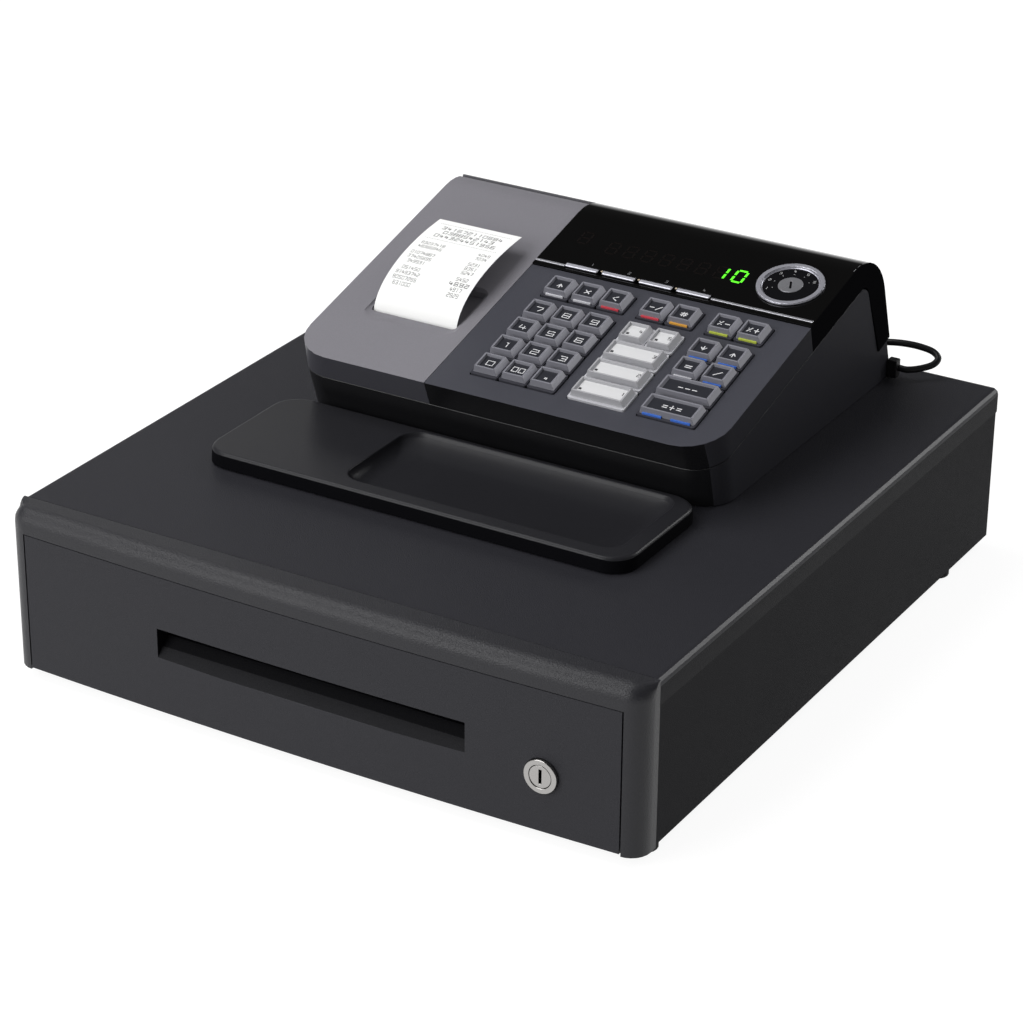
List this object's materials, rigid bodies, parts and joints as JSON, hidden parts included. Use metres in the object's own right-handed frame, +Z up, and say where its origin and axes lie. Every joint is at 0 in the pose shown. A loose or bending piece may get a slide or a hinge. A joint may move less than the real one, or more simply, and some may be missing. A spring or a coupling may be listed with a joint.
{
  "type": "ticket register",
  "caption": "Compact till head with receipt printer, display, mode dial and keys on a wide sliding cash drawer with a note slot and lock.",
  "frame": {"origin": "middle of the footprint, on the table under the feet", "axes": "+X to the operator's right, +Y to the rear, +Z up"},
  "size_m": [0.41, 0.4533, 0.1979],
  "materials": {
    "cabinet_grey": "fine matte charcoal",
    "bezel_grey": "fine pebble grain charcoal",
    "zinc_steel": "zinc plated",
    "nickel": "satin nickel plate",
    "bright_silver": "hot stamped silver",
    "silver_paint": "silver grey metallic paint",
    "deck_grey": "matte blue grey",
    "gloss_black": "polished smoked window plastic",
    "satin_black": "satin black",
    "clear_key": "clear caps over dark grey inserts",
    "white_key": "clear caps over white inserts",
    "tray_grey": "smooth dark charcoal",
    "rubber": "black rubber",
    "cable_black": "soft black sheath",
    "paper": "thermal paper",
    "board_green": "solder resist"
  },
  "bodies": {
    "cabinet": {"cabinet_base": "cabinet_grey", "cabinet_lid": "cabinet_grey", "front_bezel": "bezel_grey", "foot_front_left": "rubber", "foot_front_right": "rubber", "foot_rear_left": "rubber", "foot_rear_right": "rubber", "head_base": "satin_black", "keyboard_case": "deck_grey", "display_hood": "gloss_black", "main_board": "board_green", "printer_frame": "satin_black", "pen_tray": "tray_grey", "cable_plug": "satin_black", "drawer_cable": "cable_black"},
    "drawer": {"drawer_front": "bezel_grey", "drawer_box": "tray_grey", "coin_tray": "tray_grey", "lock_barrel": "nickel"},
    "lock": {"lock_cylinder": "nickel"},
    "cover": {"printer_cover": "silver_paint", "receipt": "paper"},
    "mode_switch": {"mode_cylinder": "nickel"},
    "roll": {"paper_roll": "paper"},
    "platen": {"platen_roller": "rubber"},
    "latch": {"drawer_latch": "zinc_steel"},
    "button_menu_key_1": {"menu_key_1": "bright_silver"},
    "button_menu_key_2": {"menu_key_2": "bright_silver"},
    "button_menu_key_3": {"menu_key_3": "bright_silver"},
    "button_menu_key_4": {"menu_key_4": "bright_silver"},
    "button_key_0": {"key_0": "clear_key"},
    "button_key_00": {"key_00": "clear_key"},
    "button_key_point": {"key_point": "clear_key"},
    "button_key_1": {"key_1": "clear_key"},
    "button_key_2": {"key_2": "clear_key"},
    "button_key_3": {"key_3": "clear_key"},
    "button_key_4": {"key_4": "clear_key"},
    "button_key_5": {"key_5": "clear_key"},
    "button_key_6": {"key_6": "clear_key"},
    "button_key_7": {"key_7": "clear_key"},
    "button_key_8": {"key_8": "clear_key"},
    "button_key_9": {"key_9": "clear_key"},
    "button_key_feed": {"key_feed": "clear_key"},
    "button_key_multiply": {"key_multiply": "clear_key"},
    "button_key_clear": {"key_clear": "clear_key"},
    "button_key_error": {"key_error": "clear_key"},
    "button_key_lookup": {"key_lookup": "clear_key"},
    "button_key_department_1": {"key_department_1": "white_key"},
    "button_key_department_2": {"key_department_2": "white_key"},
    "button_key_department_3": {"key_department_3": "white_key"},
    "button_key_department_4": {"key_department_4": "white_key"},
    "button_key_department_5": {"key_department_5": "white_key"},
    "button_key_percent_minus": {"key_percent_minus": "clear_key"},
    "button_key_percent_plus": {"key_percent_plus": "clear_key"},
    "button_key_received": {"key_received": "clear_key"},
    "button_key_paid_out": {"key_paid_out": "clear_key"},
    "button_key_charge": {"key_charge": "clear_key"},
    "button_key_cheque": {"key_cheque": "clear_key"},
    "button_key_subtotal": {"key_subtotal": "clear_key"},
    "button_key_cash": {"key_cash": "clear_key"}
  },
  "joints": [
    {"name": "drawer_slide", "type": "slide", "parent": "cabinet", "child": "drawer", "axis": [0, -1, 0], "range_m": [0, 0.3]},
    {"name": "printer_cover_hinge", "type": "hinge", "parent": "cabinet", "child": "cover", "pos_m": [0, 0.15919, 0.19321], "axis": [-1, 0, 0], "range_deg": [0, 75]},
    {"name": "lock_turn", "type": "hinge", "parent": "drawer", "child": "lock", "pos_m": [0.1465, -0.22445, 0.042], "axis": [0, -1, 0], "range_deg": [0, 90]},
    {"name": "mode_turn", "type": "hinge", "parent": "cabinet", "child": "mode_switch", "pos_m": [0.1117, 0.11981, 0.18963], "axis": [0, -0.2521, 0.9677], "range_deg": [-90, 90]},
    {"name": "paper_roll_spin", "type": "hinge", "parent": "cabinet", "child": "roll", "pos_m": [-0.0862, 0.10765, 0.139], "axis": [1, 0, 0], "continuous": true},
    {"name": "platen_spin", "type": "hinge", "parent": "cabinet", "child": "platen", "pos_m": [-0.0862, 0.02274, 0.14574], "axis": [1, 0, 0], "continuous": true},
    {"name": "latch_swing", "type": "hinge", "parent": "cabinet", "child": "latch", "pos_m": [0, 0.19125, 0.03], "axis": [1, 0, 0], "range_deg": [0, 8]},
    {"name": "menu_key_1_press", "type": "slide", "parent": "cabinet", "child": "button_menu_key_1", "axis": [0, -0.2521, 0.9677], "range_m": [-0.001, 0], "stiffness_N_per_m": 300},
    {"name": "menu_key_2_press", "type": "slide", "parent": "cabinet", "child": "button_menu_key_2", "axis": [0, -0.2521, 0.9677], "range_m": [-0.001, 0], "stiffness_N_per_m": 300},
    {"name": "menu_key_3_press", "type": "slide", "parent": "cabinet", "child": "button_menu_key_3", "axis": [0, -0.2521, 0.9677], "range_m": [-0.001, 0], "stiffness_N_per_m": 300},
    {"name": "menu_key_4_press", "type": "slide", "parent": "cabinet", "child": "button_menu_key_4", "axis": [0, -0.2521, 0.9677], "range_m": [-0.001, 0], "stiffness_N_per_m": 300},
    {"name": "key_0_press", "type": "slide", "parent": "cabinet", "child": "button_key_0", "axis": [0, -0.2521, 0.9677], "range_m": [-0.0025, 0], "stiffness_N_per_m": 250},
    {"name": "key_00_press", "type": "slide", "parent": "cabinet", "child": "button_key_00", "axis": [0, -0.2521, 0.9677], "range_m": [-0.0025, 0], "stiffness_N_per_m": 250},
    {"name": "key_point_press", "type": "slide", "parent": "cabinet", "child": "button_key_point", "axis": [0, -0.2521, 0.9677], "range_m": [-0.0025, 0], "stiffness_N_per_m": 250},
    {"name": "key_1_press", "type": "slide", "parent": "cabinet", "child": "button_key_1", "axis": [0, -0.2521, 0.9677], "range_m": [-0.0025, 0], "stiffness_N_per_m": 250},
    {"name": "key_2_press", "type": "slide", "parent": "cabinet", "child": "button_key_2", "axis": [0, -0.2521, 0.9677], "range_m": [-0.0025, 0], "stiffness_N_per_m": 250},
    {"name": "key_3_press", "type": "slide", "parent": "cabinet", "child": "button_key_3", "axis": [0, -0.2521, 0.9677], "range_m": [-0.0025, 0], "stiffness_N_per_m": 250},
    {"name": "key_4_press", "type": "slide", "parent": "cabinet", "child": "button_key_4", "axis": [0, -0.2521, 0.9677], "range_m": [-0.0025, 0], "stiffness_N_per_m": 250},
    {"name": "key_5_press", "type": "slide", "parent": "cabinet", "child": "button_key_5", "axis": [0, -0.2521, 0.9677], "range_m": [-0.0025, 0], "stiffness_N_per_m": 250},
    {"name": "key_6_press", "type": "slide", "parent": "cabinet", "child": "button_key_6", "axis": [0, -0.2521, 0.9677], "range_m": [-0.0025, 0], "stiffness_N_per_m": 250},
    {"name": "key_7_press", "type": "slide", "parent": "cabinet", "child": "button_key_7", "axis": [0, -0.2521, 0.9677], "range_m": [-0.0025, 0], "stiffness_N_per_m": 250},
    {"name": "key_8_press", "type": "slide", "parent": "cabinet", "child": "button_key_8", "axis": [0, -0.2521, 0.9677], "range_m": [-0.0025, 0], "stiffness_N_per_m": 250},
    {"name": "key_9_press", "type": "slide", "parent": "cabinet", "child": "button_key_9", "axis": [0, -0.2521, 0.9677], "range_m": [-0.0025, 0], "stiffness_N_per_m": 250},
    {"name": "key_feed_press", "type": "slide", "parent": "cabinet", "child": "button_key_feed", "axis": [0, -0.2521, 0.9677], "range_m": [-0.0025, 0], "stiffness_N_per_m": 250},
    {"name": "key_multiply_press", "type": "slide", "parent": "cabinet", "child": "button_key_multiply", "axis": [0, -0.2521, 0.9677], "range_m": [-0.0025, 0], "stiffness_N_per_m": 250},
    {"name": "key_clear_press", "type": "slide", "parent": "cabinet", "child": "button_key_clear", "axis": [0, -0.2521, 0.9677], "range_m": [-0.0025, 0], "stiffness_N_per_m": 250},
    {"name": "key_error_press", "type": "slide", "parent": "cabinet", "child": "button_key_error", "axis": [0, -0.2521, 0.9677], "range_m": [-0.0025, 0], "stiffness_N_per_m": 250},
    {"name": "key_lookup_press", "type": "slide", "parent": "cabinet", "child": "button_key_lookup", "axis": [0, -0.2521, 0.9677], "range_m": [-0.0025, 0], "stiffness_N_per_m": 250},
    {"name": "key_department_1_press", "type": "slide", "parent": "cabinet", "child": "button_key_department_1", "axis": [0, -0.2521, 0.9677], "range_m": [-0.0025, 0], "stiffness_N_per_m": 250},
    {"name": "key_department_2_press", "type": "slide", "parent": "cabinet", "child": "button_key_department_2", "axis": [0, -0.2521, 0.9677], "range_m": [-0.0025, 0], "stiffness_N_per_m": 250},
    {"name": "key_department_3_press", "type": "slide", "parent": "cabinet", "child": "button_key_department_3", "axis": [0, -0.2521, 0.9677], "range_m": [-0.0025, 0], "stiffness_N_per_m": 250},
    {"name": "key_department_4_press", "type": "slide", "parent": "cabinet", "child": "button_key_department_4", "axis": [0, -0.2521, 0.9677], "range_m": [-0.0025, 0], "stiffness_N_per_m": 250},
    {"name": "key_department_5_press", "type": "slide", "parent": "cabinet", "child": "button_key_department_5", "axis": [0, -0.2521, 0.9677], "range_m": [-0.0025, 0], "stiffness_N_per_m": 250},
    {"name": "key_percent_minus_press", "type": "slide", "parent": "cabinet", "child": "button_key_percent_minus", "axis": [0, -0.2521, 0.9677], "range_m": [-0.0025, 0], "stiffness_N_per_m": 250},
    {"name": "key_percent_plus_press", "type": "slide", "parent": "cabinet", "child": "button_key_percent_plus", "axis": [0, -0.2521, 0.9677], "range_m": [-0.0025, 0], "stiffness_N_per_m": 250},
    {"name": "key_received_press", "type": "slide", "parent": "cabinet", "child": "button_key_received", "axis": [0, -0.2521, 0.9677], "range_m": [-0.0025, 0], "stiffness_N_per_m": 250},
    {"name": "key_paid_out_press", "type": "slide", "parent": "cabinet", "child": "button_key_paid_out", "axis": [0, -0.2521, 0.9677], "range_m": [-0.0025, 0], "stiffness_N_per_m": 250},
    {"name": "key_charge_press", "type": "slide", "parent": "cabinet", "child": "button_key_charge", "axis": [0, -0.2521, 0.9677], "range_m": [-0.0025, 0], "stiffness_N_per_m": 250},
    {"name": "key_cheque_press", "type": "slide", "parent": "cabinet", "child": "button_key_cheque", "axis": [0, -0.2521, 0.9677], "range_m": [-0.0025, 0], "stiffness_N_per_m": 250},
    {"name": "key_subtotal_press", "type": "slide", "parent": "cabinet", "child": "button_key_subtotal", "axis": [0, -0.2521, 0.9677], "range_m": [-0.0025, 0], "stiffness_N_per_m": 250},
    {"name": "key_cash_press", "type": "slide", "parent": "cabinet", "child": "button_key_cash", "axis": [0, -0.2521, 0.9677], "range_m": [-0.0025, 0], "stiffness_N_per_m": 250}
  ],
  "couplings": [
    {"joint": "platen_spin", "follows": "paper_roll_spin", "ratio": 5.3}
  ]
}
